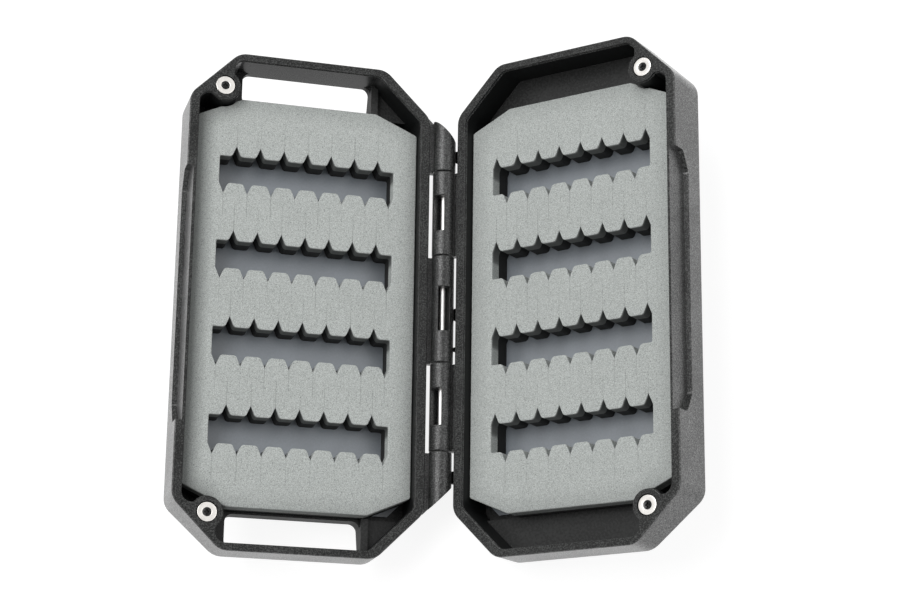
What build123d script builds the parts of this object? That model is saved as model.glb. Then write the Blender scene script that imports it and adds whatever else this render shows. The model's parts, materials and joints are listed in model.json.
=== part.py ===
from build123d import *
import os
from math import cos, radians, sin, sqrt

# Fly box: two shallow moulded halves on one steel hinge pin, each lined with a
# slotted foam insert and closed by two pairs of ring magnets.
#
# Each half is drawn in its own frame: the hinge pin lies on Y, X runs from the
# pin to the outer long wall, and Z leaves the open side. The two halves are
# then turned about the pin into an open V that stands on its two long back
# edges, with the floor at Z = 0 and the pin above the Y axis.

# --- opening ---
rest_opening = 131.65      # degrees between the two open sides, 0 is closed
closing_gap = 0.2          # between the two rims of the closed box

# --- case half: outside ---
case_length = 160.4        # along the hinge
case_width = 78.71         # from the hinge-side wall to the outer wall
half_depth = 17.0          # rim to back, over the insert
end_depth = 12.3           # rim to back, at the two ends
end_slope = 16.0           # length of the sloping back at each end
slope_blend = 18.0         # radius between the back and each slope
corner_cut = 15.3          # 45 degree cut at each corner
corner_radius = 6.0
back_radius = 1.1          # rounding of the back edges
rim_radius = 0.5           # rounding of the outer edge of the rim

# --- case half: walls and floors ---
hinge_wall = 3.33
outer_wall = 3.18
end_wall = 2.55
corner_wall = 3.24         # square to the 45 degree cut
insert_floor = 2.7
end_floor = 1.6
pocket_radius = 3.0
rebate_width = 0.3         # small step round the inside of the rim
rebate_depth = 0.9

# --- thumb recess in the outer wall ---
thumb_length = 82.0        # at the rim
thumb_end_upright = 5.3    # upright part of each end, from the rim down
thumb_end_run = 6.3        # how far each end slopes in below that, down to the ledge
thumb_end_blend = 2.0      # radius at the top and the foot of that slope
thumb_rim_cut = 2.1        # depth of the recess at the rim
thumb_ledge_width = 1.7
thumb_ledge_depth = 8.7    # rim to ledge

# --- end slots of the base ---
slot_length = 42.35        # across the case
slot_hinge_inset = 18.13   # from the hinge-side wall to the slot
slot_insert_wall = 0.7     # wall left between the slot and the insert pocket
slot_radius = 2.5
slot_rib_width = 2.25      # rib beside the slot, towards the hinge
slot_rib_height = 2.2      # above the end floor

# --- hinge ---
hinge_offset = 0.45        # of the knuckles' middle from the case's, along the pin
pin_diameter = 1.7
pin_end_cover = 3.5        # material beyond the pin's blind end
pin_fit = 0.02             # radial, pin in the base
pin_running = 0.08         # radial, pin in the lid
barrel_diameter = 7.3
barrel_gap = 1.07          # barrel to the wall of the other half
middle_knuckle = 35.0      # length of the base's middle knuckle
lid_knuckle = 28.1         # length of each of the lid's two knuckles
knuckle_gap = 0.3
web_top = 1.2              # depth of the web's top below the pin axis
web_thickness = 2.0
middle_window = 14.4       # length of the window over the pin
lid_window = 11.8
window_width = 3.8
window_offset = 0.3        # of the window's middle, towards its own half
window_floor = 1.5         # below the pin axis

# --- lugs on the lid's hinge-side wall, reaching below the barrel ---
lug_gap = 0.4              # lug to barrel
lug_tip = 1.5              # from the plane of the pin axis to the lug's tip
lug_height = 3.65
end_lug_place = 53.0
end_lug_length = 4.0
middle_lug_place = -0.15
middle_lug_length = 4.0
small_lug_place = -11.65
small_lug_length = 1.5

# --- magnets and their screws ---
magnet_outer_inset = 11.07  # from the outer wall to the magnet's middle
magnet_end_inset = 11.45    # from the end wall to the magnet's middle
magnet_diameter = 6.2
magnet_thickness = 2.5
magnet_bore = 1.9
magnet_countersink = 2.9
magnet_clearance = 0.2      # radial, magnet in its pocket
magnet_sink = 0.15          # face below the rim
boss_wall = 1.75
corner_block_inset = 2.9    # from the magnet's middle to the corner block
screw_diameter = 1.6
screw_length = 5.0          # below the magnet
screw_clearance = 0.05
screw_recess = 0.35
screw_hole_spare = 0.5      # hole below the screw's tip
recess_reach = 0.6          # of the cross, as a share of the head's radius
recess_half_width = 0.13    # the same

# --- foam insert, from the rim down ---
insert_end_inset = 14.05    # from the end of the case to the insert
insert_gap = 0.15           # insert to the long walls
insert_end_gap = 0.15       # insert to the ends of its pocket
foam_recess = 4.2           # rim to foam
grey_foam = 4.1
black_foam = 5.1
sheet_thickness = 0.6
adhesive_thickness = 0.3
hinge_chamfer_length = 13.8  # insert corner beside the hinge
hinge_chamfer_width = 6.1
outer_chamfer_length = 14.1  # insert corner beside the magnet
outer_chamfer_width = 6.4
insert_corner_radius = 1.2
boss_relief = 0.6            # foam to magnet boss
sheet_inset = 1.0
sheet_end_inset = 1.75
sheet_corner_cut = 4.2
adhesive_inset = 3.0

# --- windows in the foam ---
row_count = 4
row_pitch = 28.05
row_opening = 8.95          # between facing lobes
notch_pitch = 7.684
notch_count = 8             # on one side, one fewer on the other
notch_depth = 3.45
notch_width = 2.9           # at the mouth, before rounding
lobe_radius = 1.25
row_corner_radius = 0.5

# --- derived places ---
tilt = (180 - rest_opening) / 2
rim_z = -closing_gap / 2
barrel_radius = barrel_diameter / 2
wall_x = barrel_radius + barrel_gap
outer_x = wall_x + case_width
half_length = case_length / 2
back_z = rim_z - half_depth
end_back_z = rim_z - end_depth
cavity_x = wall_x + hinge_wall
cavity_outer_x = outer_x - outer_wall
cavity_y = half_length - end_wall
corner_sum = half_length - corner_cut - wall_x   # |y| - x on the hinge-side cuts
inner_corner_sum = corner_sum - corner_wall * sqrt(2)
end_floor_z = end_back_z + end_floor
insert_floor_z = back_z + insert_floor
foam_half = half_length - insert_end_inset
pocket_half = foam_half + insert_end_gap
magnet_x = outer_x - magnet_outer_inset
magnet_y = half_length - magnet_end_inset
magnet_z = rim_z - magnet_sink
boss_radius = magnet_diameter / 2 + magnet_clearance + boss_wall
block_x = magnet_x - corner_block_inset
block_y = magnet_y - corner_block_inset
foam_x = cavity_x + insert_gap
foam_outer_x = cavity_outer_x - insert_gap
foam_mid_x = (foam_x + foam_outer_x) / 2
grey_top = rim_z - foam_recess
black_top = grey_top - grey_foam
sheet_top = black_top - black_foam
adhesive_top = sheet_top - sheet_thickness
slot_x = wall_x + slot_hinge_inset
slot_y = pocket_half + slot_insert_wall
lid_seam = middle_knuckle / 2 + knuckle_gap
end_seam = lid_seam + lid_knuckle + knuckle_gap
pin_end = corner_sum - pin_diameter / 2 - pin_end_cover
far = case_length           # past everything
overshoot = 5.0             # how far a cutter reaches past the face it cuts
weld = 0.5                  # how far an added form reaches into what carries it
axis_height = (
    (half_depth - rim_z - back_radius) * cos(radians(tilt))
    - (wall_x + back_radius) * sin(radians(tilt))
    + back_radius
)


def face_of(points):
    """Flat face inside a closed run of (x, y) points."""
    return make_face(Polyline(*points, close=True))


def mirrored_outline(points):
    """Face symmetric about X, from its points on the +Y side in order of X."""
    return face_of(points + [(x, -y) for x, y in reversed(points)])


def corners_at(sketch, places):
    """Vertices of a sketch that stand at the given (x, |y|) places."""
    return [
        v for v in sketch.vertices()
        if any(abs(v.X - x) < 0.01 and abs(abs(v.Y) - y) < 0.01 for x, y in places)
    ]


def slab(sketch, low, high):
    """Sketch on XY made solid between two heights."""
    return Pos(0, 0, low) * extrude(sketch, high - low)


def block(x_range, y_range, z_range):
    """Box between three pairs of limits."""
    sides = [high - low for low, high in (x_range, y_range, z_range)]
    middle = [(high + low) / 2 for low, high in (x_range, y_range, z_range)]
    return Pos(*middle) * Box(*sides)


def side_prism(points, x_range):
    """Solid of a (y, z) outline between two X places."""
    wire = Polyline(*[(x_range[0], y, z) for y, z in points], close=True)
    return extrude(make_face(wire), x_range[1] - x_range[0], dir=(1, 0, 0))


def long_prism(points, y_half):
    """Solid of an (x, z) outline, reaching y_half each way along the hinge."""
    wire = Polyline(*[(x, -y_half, z) for x, z in points], close=True)
    return extrude(make_face(wire), 2 * y_half, dir=(0, 1, 0))


def rod(radius, y_low, y_high):
    """Cylinder along the hinge axis between two Y places."""
    middle = (y_low + y_high) / 2
    return Pos(0, middle, 0) * Rot(90, 0, 0) * Cylinder(radius, y_high - y_low)


def octagon():
    """Outline of a half: a rectangle with its four corners cut at 45 degrees."""
    straight = half_length - corner_cut
    outline = mirrored_outline([
        (wall_x, straight),
        (wall_x + corner_cut, half_length),
        (outer_x - corner_cut, half_length),
        (outer_x, straight),
    ])
    return fillet(outline.vertices(), corner_radius)


def sloped_prism():
    """Side view of a half made solid: a flat back that slopes up to each end."""
    deep = half_length - end_slope
    side_view = [
        (-half_length, rim_z),
        (-half_length, end_back_z),
        (-deep, back_z),
        (deep, back_z),
        (half_length, end_back_z),
        (half_length, rim_z),
    ]
    prism = side_prism(side_view, (0, far))
    bends = [
        e for e in prism.edges()
        if abs(e.center().Z - back_z) < 0.01 and abs(abs(e.center().Y) - deep) < 0.01
    ]
    return fillet(bends, slope_blend)


def outer_body():
    """Outside of a half, with its back edges and its rim rounded all round."""
    body = slab(octagon(), back_z, rim_z) & sloped_prism()
    walls = [f for f in body.faces() if abs(f.normal_at().Z) < 0.01]
    back_edges = [
        e for f in walls for e in f.edges() if e.bounding_box().max.Z < rim_z - 0.01
    ]
    body = fillet(back_edges, back_radius)
    rim_edges = [e for e in body.edges() if e.bounding_box().min.Z > rim_z - 0.01]
    return fillet(rim_edges, rim_radius)


def cavity_outline():
    """Inside of the walls, with a solid corner and a round boss at each magnet."""
    places = [
        (cavity_x, cavity_x + inner_corner_sum),
        (cavity_y - inner_corner_sum, cavity_y),
        (block_x, cavity_y),
        (block_x, block_y),
        (cavity_outer_x, block_y),
    ]
    outline = mirrored_outline(places)
    rounded = [places[i] for i in (0, 1, 2, 4)]
    outline = fillet(corners_at(outline, rounded), pocket_radius)
    for side in (-1, 1):
        outline -= Pos(magnet_x, side * magnet_y) * Circle(boss_radius)
    return outline


def cavity():
    """Space inside a half, deeper over the insert than at the ends."""
    outline = cavity_outline()
    middle = Pos((wall_x + outer_x) / 2, 0) * Rectangle(2 * case_width, 2 * pocket_half)
    space = slab(outline, end_floor_z, rim_z + overshoot)
    space += slab(outline & middle, insert_floor_z, end_floor_z + weld)
    rebate = offset(outline, rebate_width)
    return space + slab(rebate, rim_z - rebate_depth, rim_z + overshoot)


def thumb_recess():
    """Recess in the outer wall, with a ledge below and sloping ends."""
    ledge_z = rim_z - thumb_ledge_depth
    section = [
        (outer_x - thumb_rim_cut, rim_z),
        (outer_x - thumb_ledge_width, ledge_z),
        (outer_x + overshoot, ledge_z),
        (outer_x + overshoot, rim_z + overshoot),
        (outer_x - thumb_rim_cut, rim_z + overshoot),
    ]
    half = thumb_length / 2
    low = half - thumb_end_run
    upright_z = rim_z - thumb_end_upright
    side_view = [
        (-half, rim_z + overshoot),
        (-half, upright_z),
        (-low, ledge_z),
        (low, ledge_z),
        (half, upright_z),
        (half, rim_z + overshoot),
    ]
    ends = side_prism(side_view, (outer_x - overshoot, outer_x + overshoot))
    bends = [e for e in ends.edges() if e.bounding_box().max.Z < upright_z + 0.01]
    bends = [e for e in bends if e.bounding_box().size.X > 1 and e.bounding_box().size.Y < 0.01]
    return long_prism(section, thumb_length) & fillet(bends, thumb_end_blend)


def magnet_pockets():
    """Round pockets in the bosses, each with a screw hole below it."""
    spaces = []
    pocket_floor = magnet_z - magnet_thickness
    hole_floor = pocket_floor - screw_length - screw_hole_spare
    for side in (-1, 1):
        centre = Pos(magnet_x, side * magnet_y)
        pocket = centre * Circle(magnet_diameter / 2 + magnet_clearance)
        hole = centre * Circle(screw_diameter / 2 + screw_clearance)
        spaces.append(slab(pocket, pocket_floor, rim_z + overshoot))
        spaces.append(slab(hole, hole_floor, pocket_floor + weld))
    return spaces


def plain_half():
    """One half without its hinge."""
    half = outer_body() - cavity() - thumb_recess()
    for space in magnet_pockets():
        half -= space
    return half


def end_slot(side):
    """Slot through the floor of the base beside one end wall."""
    width = cavity_y - slot_y
    middle = Pos(slot_x + slot_length / 2, side * (slot_y + width / 2))
    outline = middle * RectangleRounded(slot_length, width, slot_radius)
    return slab(outline, back_z - overshoot, end_floor_z + overshoot)


def slot_rib(side):
    """Rib on the end floor, between the slot and the hinge-side corner."""
    y_range = sorted((side * pocket_half, side * (cavity_y + weld)))
    return block(
        (slot_x - slot_rib_width, slot_x),
        y_range,
        (end_floor_z - weld, end_floor_z + slot_rib_height),
    )


def corner_space(side):
    """All that lies beyond the line of one hinge-side corner cut."""
    points = [
        (-far, side * (corner_sum - far)),
        (far, side * (corner_sum + far)),
        (-far, side * (corner_sum + far)),
    ]
    return slab(face_of(points), -far, far)


def knuckle(y_low, y_high):
    """Barrel between two Y places, with the web that joins it to its wall."""
    web = block(
        (0, wall_x + weld),
        (y_low, y_high),
        (-web_top - web_thickness, -web_top),
    )
    return rod(barrel_radius, y_low, y_high) + web


def pin_window(y_middle, length):
    """Window from the open side of a barrel down past the pin."""
    return block(
        (window_offset - window_width / 2, window_offset + window_width / 2),
        (y_middle - length / 2, y_middle + length / 2),
        (-window_floor, barrel_radius + overshoot),
    )


def lug(y_middle, length):
    """Small lug on the outside of the hinge-side wall, clear below the barrel."""
    top = -barrel_radius - lug_gap
    return block(
        (lug_tip, wall_x + weld),
        (y_middle - length / 2, y_middle + length / 2),
        (top - lug_height, top),
    )


def base_shell():
    """Base half: three knuckles and a slot at each end."""
    shell = plain_half()
    middle = -hinge_offset      # this half's own Y runs the other way
    for side in (-1, 1):
        y_range = sorted((middle + side * end_seam, side * (corner_sum + overshoot)))
        shell += knuckle(*y_range) - corner_space(side)
        shell -= end_slot(side)
        shell += slot_rib(side)
    shell += knuckle(middle - middle_knuckle / 2, middle + middle_knuckle / 2)
    shell -= pin_window(middle, middle_window)
    # Open at the end that the pin goes in by, blind at the other
    return shell - rod(pin_diameter / 2 + pin_fit, -far, pin_end)


def lid_shell():
    """Lid half: two knuckles between the base's three, and four small lugs."""
    shell = plain_half()
    for side in (-1, 1):
        y_middle = hinge_offset + side * (lid_seam + lid_knuckle / 2)
        shell += knuckle(y_middle - lid_knuckle / 2, y_middle + lid_knuckle / 2)
        shell -= pin_window(y_middle, lid_window)
        shell += lug(side * end_lug_place, end_lug_length)
    shell += lug(middle_lug_place, middle_lug_length)
    shell += lug(small_lug_place, small_lug_length)
    return shell - rod(pin_diameter / 2 + pin_running, -far, far)


def hinge_pin():
    """Steel pin through all five knuckles."""
    return rod(pin_diameter / 2, -pin_end, pin_end - knuckle_gap)


def row_outline(y_middle):
    """Window of one row: V notches on both sides, offset by half a pitch."""
    half_run = (notch_count - 1) * notch_pitch / 2
    lobe = row_opening / 2
    tip = lobe + notch_depth
    half_mouth = notch_width / 2
    ends = (foam_mid_x - half_run - half_mouth, foam_mid_x + half_run + half_mouth)
    many = [foam_mid_x - half_run + i * notch_pitch for i in range(notch_count)]
    few = [x + notch_pitch / 2 for x in many[:-1]]
    upper = []
    for x in many:
        upper += [(x - half_mouth, lobe), (x, tip), (x + half_mouth, lobe)]
    lower = [(ends[0], -lobe)]
    for x in few:
        lower += [(x - half_mouth, -lobe), (x, -tip), (x + half_mouth, -lobe)]
    lower.append((ends[1], -lobe))
    outline = face_of(upper + lower[::-1])
    lobes = [p for p in upper[1:-1] + lower[1:-1] if abs(abs(p[1]) - lobe) < 0.01]
    shoulders = [
        v for v in outline.vertices()
        if any(abs(v.X - x) < 0.01 and abs(v.Y - y) < 0.01 for x, y in lobes)
    ]
    outline = fillet(shoulders, lobe_radius)
    corners = [
        v for v in outline.vertices()
        if any(abs(v.X - x) < 0.01 for x in ends) and abs(v.Y + lobe) < 0.01
    ]
    return Pos(0, y_middle) * fillet(corners, row_corner_radius)


def insert_outline():
    """Outline of the foam insert, relieved round the two magnet bosses."""
    outline = mirrored_outline([
        (foam_x, foam_half - hinge_chamfer_width),
        (foam_x + hinge_chamfer_length, foam_half),
        (foam_outer_x - outer_chamfer_length, foam_half),
        (foam_outer_x, foam_half - outer_chamfer_width),
    ])
    outline = fillet(outline.vertices(), insert_corner_radius)
    for side in (-1, 1):
        outline -= Pos(magnet_x, side * magnet_y) * Circle(boss_radius + boss_relief)
    return outline


def foam_sketch():
    """Insert outline with its rows of windows."""
    sketch = insert_outline()
    first = -(row_count - 1) * row_pitch / 2
    for i in range(row_count):
        sketch -= row_outline(first + i * row_pitch)
    return sketch


def sheet_sketch():
    """Backing sheet, shorter than the foam but fuller at the hinge side."""
    end = foam_half - sheet_end_inset
    low_x = foam_x + sheet_inset
    high_x = foam_outer_x - sheet_inset
    return mirrored_outline([
        (low_x, end - sheet_corner_cut),
        (low_x + sheet_corner_cut, end),
        (high_x - outer_chamfer_length, end),
        (high_x, end - outer_chamfer_width),
    ])


def adhesive_sketch():
    """Adhesive film, inset from the edge of the sheet."""
    end = foam_half - sheet_end_inset - adhesive_inset
    low_x = foam_x + sheet_inset + adhesive_inset
    high_x = foam_outer_x - sheet_inset - adhesive_inset
    return mirrored_outline([
        (low_x, end - sheet_corner_cut),
        (low_x + sheet_corner_cut, end),
        (high_x - outer_chamfer_length, end),
        (high_x, end - outer_chamfer_width),
    ])


def magnet(side):
    """Ring magnet with a countersunk bore."""
    low = magnet_z - magnet_thickness
    sink = (magnet_countersink - magnet_bore) / 2
    ring = slab(Circle(magnet_diameter / 2) - Circle(magnet_bore / 2), low, magnet_z)
    cone = Pos(0, 0, magnet_z - sink / 2) * Cone(
        magnet_bore / 2, magnet_countersink / 2, sink
    )
    return Pos(magnet_x, side * magnet_y) * (ring - cone)


def magnet_screw(side):
    """Small countersunk screw that holds a magnet, with a cross recess."""
    head_radius = magnet_countersink / 2 - screw_clearance
    head = head_radius - screw_diameter / 2
    tip = magnet_z - magnet_thickness - screw_length
    cone = Pos(0, 0, magnet_z - head / 2) * Cone(screw_diameter / 2, head_radius, head)
    screw = slab(Circle(screw_diameter / 2), tip, magnet_z - head / 2) + cone
    arm = (-head_radius * recess_reach, head_radius * recess_reach)
    cut = (-head_radius * recess_half_width, head_radius * recess_half_width)
    depth = (magnet_z - screw_recess, magnet_z + overshoot)
    screw -= block(arm, cut, depth) + block(cut, arm, depth)
    return Pos(magnet_x, side * magnet_y) * screw


def in_base(shape):
    """Half frame to the base's place in the open box."""
    return Pos(0, 0, axis_height) * Rot(0, tilt, 0) * Rot(0, 0, 180) * shape


def in_lid(shape):
    """Half frame to the lid's place in the open box."""
    return Pos(0, 0, axis_height) * Rot(0, -tilt, 0) * shape


def half_fittings():
    """Everything that both halves hold, in the half frame."""
    fittings = {
        "foam_grey": slab(foam_sketch(), black_top, grey_top),
        "foam_black": slab(foam_sketch(), sheet_top, black_top),
        "backing_sheet": slab(sheet_sketch(), adhesive_top, sheet_top),
        "adhesive_film": slab(adhesive_sketch(), adhesive_top - adhesive_thickness, adhesive_top),
    }
    for side, name in ((1, "a"), (-1, "b")):
        fittings["magnet_" + name] = magnet(side)
        fittings["magnet_screw_" + name] = magnet_screw(side)
    return fittings


def main():
    os.makedirs("parts", exist_ok=True)
    nodes = {
        "base_shell": in_base(base_shell()),
        "hinge_pin": in_base(hinge_pin()),
        "lid_shell": in_lid(lid_shell()),
    }
    for name, shape in half_fittings().items():
        nodes["base_" + name] = in_base(shape)
        nodes["lid_" + name] = in_lid(shape)
    for name, shape in nodes.items():
        export_step(shape, "parts/" + name + ".step")


main()
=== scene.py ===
"""Fly box in two moulded halves: fine shapes and finishes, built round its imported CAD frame."""

import json
import logging
import math
from collections.abc import Mapping, Sequence
from dataclasses import dataclass
from enum import Enum

import bmesh
import bpy
import numpy as np
from numpy.typing import NDArray
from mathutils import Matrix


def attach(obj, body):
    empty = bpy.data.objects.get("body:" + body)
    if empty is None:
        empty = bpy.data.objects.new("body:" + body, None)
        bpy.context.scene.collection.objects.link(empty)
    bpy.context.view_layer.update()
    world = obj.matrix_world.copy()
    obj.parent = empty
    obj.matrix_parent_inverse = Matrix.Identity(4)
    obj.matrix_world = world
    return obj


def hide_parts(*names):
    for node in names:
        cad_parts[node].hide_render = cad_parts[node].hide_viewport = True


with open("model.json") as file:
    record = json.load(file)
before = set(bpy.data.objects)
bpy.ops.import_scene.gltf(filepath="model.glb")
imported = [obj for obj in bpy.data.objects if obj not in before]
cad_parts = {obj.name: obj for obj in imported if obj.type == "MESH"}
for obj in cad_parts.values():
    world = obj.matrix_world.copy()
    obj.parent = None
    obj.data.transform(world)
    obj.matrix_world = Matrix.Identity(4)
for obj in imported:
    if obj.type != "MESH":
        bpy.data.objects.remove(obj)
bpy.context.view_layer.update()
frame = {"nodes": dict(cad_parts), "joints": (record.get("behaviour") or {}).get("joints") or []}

MM = 0.001
LOG = logging.getLogger("fly_box")

Array = NDArray[np.float64]
Triple = tuple[float, float, float]
Colour = Triple
WHITE: Colour = (1.0, 1.0, 1.0)


# Shader maths


class Socket:
    """Output of a shader node that takes part in arithmetic, adding the Math nodes for it."""

    def __init__(self, graph: "Graph", link: bpy.types.NodeSocket) -> None:
        """Wrap one output of a graph's node."""
        self.graph = graph
        self.link = link

    def math(self, operation: str, *operands: "Socket | float") -> "Socket":
        """Result of a Math node on the operands, in order."""
        settings = {"operation": operation}
        return self.graph.node("ShaderNodeMath", settings, dict(enumerate(operands)))

    def __add__(self, other: "Socket | float") -> "Socket":
        """Sum."""
        return self.math("ADD", self, other)

    def __radd__(self, other: float) -> "Socket":
        """Sum, number first."""
        return self.math("ADD", other, self)

    def __sub__(self, other: "Socket | float") -> "Socket":
        """Difference."""
        return self.math("SUBTRACT", self, other)

    def __rsub__(self, other: float) -> "Socket":
        """Difference, number first."""
        return self.math("SUBTRACT", other, self)

    def __mul__(self, other: "Socket | float") -> "Socket":
        """Product."""
        return self.math("MULTIPLY", self, other)

    def __rmul__(self, other: float) -> "Socket":
        """Product, number first."""
        return self.math("MULTIPLY", other, self)

    def clear_of(self, low: float, high: float) -> "Socket":
        """Share of the way from low, where it is 0, to high, where it is 1, smooth at both."""
        limits = {"Value": self, "From Min": low, "From Max": high}
        return self.graph.node("ShaderNodeMapRange", {"interpolation_type": "SMOOTHSTEP"}, limits)


class Graph:
    """Node tree of one material, or of the world."""

    def __init__(self, name: str, world: bool = False) -> None:
        """Start an empty material or world.

        Args:
            name: Its name.
            world: True for a world.
        """
        self.material = (bpy.data.worlds if world else bpy.data.materials).new(name)
        self.material.use_nodes = True
        self.tree = self.material.node_tree
        self.tree.nodes.clear()
        self.end = "ShaderNodeOutputWorld" if world else "ShaderNodeOutputMaterial"

    def node(
        self,
        kind: str,
        settings: Mapping[str, object] | None = None,
        inputs: Mapping[int | str, object] | None = None,
        output: int | str = 0,
    ) -> Socket:
        """Any node, with its settings made before its inputs.

        Args:
            kind: The node's type.
            settings: Its properties, such as a Math node's operation.
            inputs: A value or a Socket for each input, by name or number.
            output: Which output to hand back.

        Returns:
            That output.
        """
        made = self.tree.nodes.new(kind)
        for name, value in (settings or {}).items():
            setattr(made, name, value)
        for key, value in (inputs or {}).items():
            if isinstance(value, Socket):
                self.tree.links.new(value.link, made.inputs[key])
            elif isinstance(value, tuple) and made.inputs[key].type == "RGBA":
                made.inputs[key].default_value = (*value, 1.0)
            else:
                made.inputs[key].default_value = value
        return Socket(self, made.outputs[output])

    def place(self, stretch: Triple = (1.0, 1.0, 1.0)) -> Socket:
        """Object coordinates, scaled on each axis."""
        source = self.node("ShaderNodeTexCoord", output="Object")
        return self.node("ShaderNodeMapping", None, {"Vector": source, "Scale": stretch})

    def noise(self, place: Socket, size: float, detail: float = 2.0, rough: float = 0.5) -> Socket:
        """Noise about 0.5 in the middle, whose lumps are about one size in metres across."""
        values = {"Vector": place, "Scale": 1.0 / size, "Detail": detail, "Roughness": rough}
        return self.node("ShaderNodeTexNoise", None, values)

    def cells(self, place: Socket, size: float, feature: str = "F1") -> Socket:
        """Distance from the middle of the nearest cell, in cells of one size in metres."""
        values = {"Vector": place, "Scale": 1.0 / size}
        return self.node("ShaderNodeTexVoronoi", {"feature": feature}, values)

    def seen(self) -> Socket:
        """1 for rays from the camera and those that gloss and glass send on, otherwise 0.

        Returns:
            The share.
        """
        camera, glossy, through = (
            self.node("ShaderNodeLightPath", output=f"Is {kind} Ray")
            for kind in ("Camera", "Glossy", "Transmission")
        )
        either = camera.math("MAXIMUM", camera, glossy)
        return either.math("MAXIMUM", either, through)

    def attribute(self, name: str) -> Socket:
        """Number kept on the mesh's points under a name."""
        return self.node("ShaderNodeAttribute", {"attribute_name": name}, output="Fac")

    def blend(
        self, share: Socket | float, first: Socket | Colour, second: Socket | Colour
    ) -> Socket:
        """Colour from the first, at share 0, to the second: a Mix node's inputs 6 and 7."""
        values = {0: share, 6: first, 7: second}
        return self.node("ShaderNodeMix", {"data_type": "RGBA"}, values, 2)

    def bump(self, height: Socket, depth: float, under: Socket | None = None) -> Socket:
        """Surface direction bent by a height.

        Args:
            height: The height, from 0 to 1.
            depth: What 1 stands for, in metres.
            under: A direction already bent, to bend further.

        Returns:
            The direction.
        """
        values: dict[int | str, object] = {"Height": height, "Distance": depth, "Strength": 1.0}
        if under is not None:
            values["Normal"] = under
        return self.node("ShaderNodeBump", None, values)

    def finish(self, **values: object) -> bpy.types.Material:
        """Close the graph with the surface shader; an input's name has _ for each space."""
        inputs = {name.replace("_", " "): value for name, value in values.items()}
        return self.close(self.node("ShaderNodeBsdfPrincipled", None, inputs))

    def close(self, surface: Socket) -> bpy.types.Material:
        """Send a shader to the material's output.

        Args:
            surface: The shader.

        Returns:
            The material.
        """
        end = self.tree.nodes.new(self.end)
        self.tree.links.new(surface.link, end.inputs["Surface"])
        return self.material


# Finishes


def shaded(colour: Colour, factor: float) -> Colour:
    """Colour made lighter or darker by a factor."""
    return tuple(factor * part for part in colour)


@dataclass(frozen=True)
class MouldedPlastic:
    """Charcoal plastic with a fine spark-eroded grain.

    At a speckle of 1, the grain's hollows are darker than the colour by the share hollow, and
    its peaks lighter by the share peak. Wear is the size of the gloss's cloudy patches.
    """

    name: str
    colour: Colour = (0.0170, 0.0177, 0.0173)
    rough: float = 0.32
    grain: float = 0.42 * MM
    grain_depth: float = 0.100 * MM
    gloss: float = 0.55
    sheen: float = 0.30
    speckle: float = 1.0
    coat: float = 1.0
    hollow: float = 0.80
    peak: float = 2.40
    wear: float = 14 * MM

    def material(self) -> bpy.types.Material:
        """Plastic whose grain is small lumps, with faint cloudy wear of the gloss.

        Returns:
            The material.
        """
        g = Graph(self.name)
        place = g.place()
        lumps = g.noise(place, self.grain, 3.0, 0.62)
        pits = g.cells(place, self.grain * 1.3, "SMOOTH_F1")
        cloud = g.noise(place, self.wear, 3.0, 0.55)
        dark = shaded(self.colour, 1.0 - self.hollow * self.speckle)
        light = shaded(self.colour, 1.0 + self.peak * self.speckle)
        tone = (lumps + cloud * 0.2).clear_of(0.54, 0.74)
        return g.finish(
            Base_Color=g.blend(tone, dark, light),
            Roughness=cloud * 0.10 + lumps * 0.12 + (self.rough - 0.11),
            Normal=g.bump(lumps * 0.75 + pits * 0.35, self.grain_depth),
            Coat_Weight=tone * self.coat,
            Coat_Roughness=0.30,
            Specular_IOR_Level=self.gloss,
            Sheen_Weight=self.sheen,
            Sheen_Roughness=0.35,
        )


@dataclass(frozen=True)
class CellFoam:
    """Closed-cell foam with fine open pores on its cut faces.

    Dark, light and deep are factors on its colour. Each share says how far the deep colour
    takes over: in the pores and in stray specks, and as painted shade in the slits, on the cut
    walls and near the rim.
    """

    name: str
    colour: Colour = (0.472, 0.497, 0.482)
    dark: float = 0.70
    light: float = 1.26
    deep: float = 0.22
    pore: float = 0.26 * MM
    pore_depth: float = 0.045 * MM
    pore_share: float = 0.55
    speck: float = 3.4 * MM
    speck_share: float = 0.40
    slit_shade_share: float = 0.75
    cut_shade_share: float = 0.90
    rim_shade_share: float = 0.26

    def material(self) -> bpy.types.Material:
        """Foam mottled by its cells and darkened where the shares say.

        Returns:
            The material.
        """
        g = Graph(self.name)
        place = g.place()
        fine = g.noise(place, self.pore, 2.0, 0.65)
        soft = g.noise(place, 1.6 * MM)
        cloud = g.noise(place, 22 * MM)
        pores = g.cells(place, self.pore * 3.2)
        specks = g.cells(place, self.speck)
        mottle = (fine * 0.92 + soft * 0.02 + cloud * 0.06).clear_of(0.36, 0.64)
        tone = g.blend(mottle, shaded(self.colour, self.dark), shaded(self.colour, self.light))
        for share in (
            (1.0 - pores.clear_of(0.10, 0.24)) * self.pore_share,
            (1.0 - specks.clear_of(0.03, 0.10)) * self.speck_share,
            # Painted shade in the slits.
            g.attribute("slit") * self.slit_shade_share,
            # Painted shade on the cut walls that face away from the main lamp.
            g.attribute("cut") * self.cut_shade_share,
            # Painted shade near the outline, where the case's walls shade the foam.
            g.attribute("rim") * self.rim_shade_share,
        ):
            tone = g.blend(share, tone, shaded(self.colour, self.deep))
        return g.finish(
            Base_Color=tone,
            Roughness=fine * 0.12 + 0.82,
            Normal=g.bump(fine * 0.6 + pores.clear_of(0.0, 0.35) * 0.6, self.pore_depth),
        )


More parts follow.
